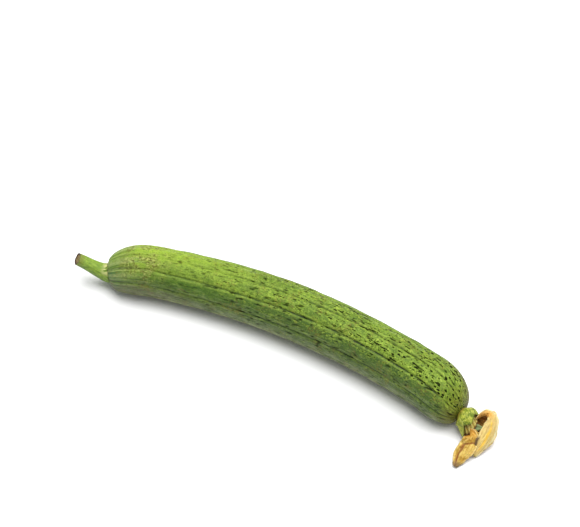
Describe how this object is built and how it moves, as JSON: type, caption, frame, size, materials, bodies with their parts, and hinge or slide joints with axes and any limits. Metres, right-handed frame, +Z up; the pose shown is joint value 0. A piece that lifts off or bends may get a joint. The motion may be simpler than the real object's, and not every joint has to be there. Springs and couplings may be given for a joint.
{
  "type": "ridge gourd",
  "caption": "Whole young ridge gourd of the smooth kind: a long, slightly bowed green fruit with a cut stem and a withered yellow flower at its tip.",
  "frame": {"origin": "on the floor, at the bottom centre of the box round the whole gourd as it lies", "axes": "+X from the cut stem to the withered flower, along the chord of the fruit's bow; +Y towards the bow's outer side; +Z up"},
  "size_m": [0.3358, 0.076, 0.0397],
  "materials": {
    "gourd skin": "soft sheen",
    "stem green": "matte",
    "calyx green": "matte",
    "withered petal": "matte",
    "stigma green": "matte"
  },
  "bodies": {
    "root": {"fruit": "gourd skin", "stem": "stem green", "calyx": "calyx green", "petals": "withered petal", "style": "stigma green"}
  },
  "joints": []
}
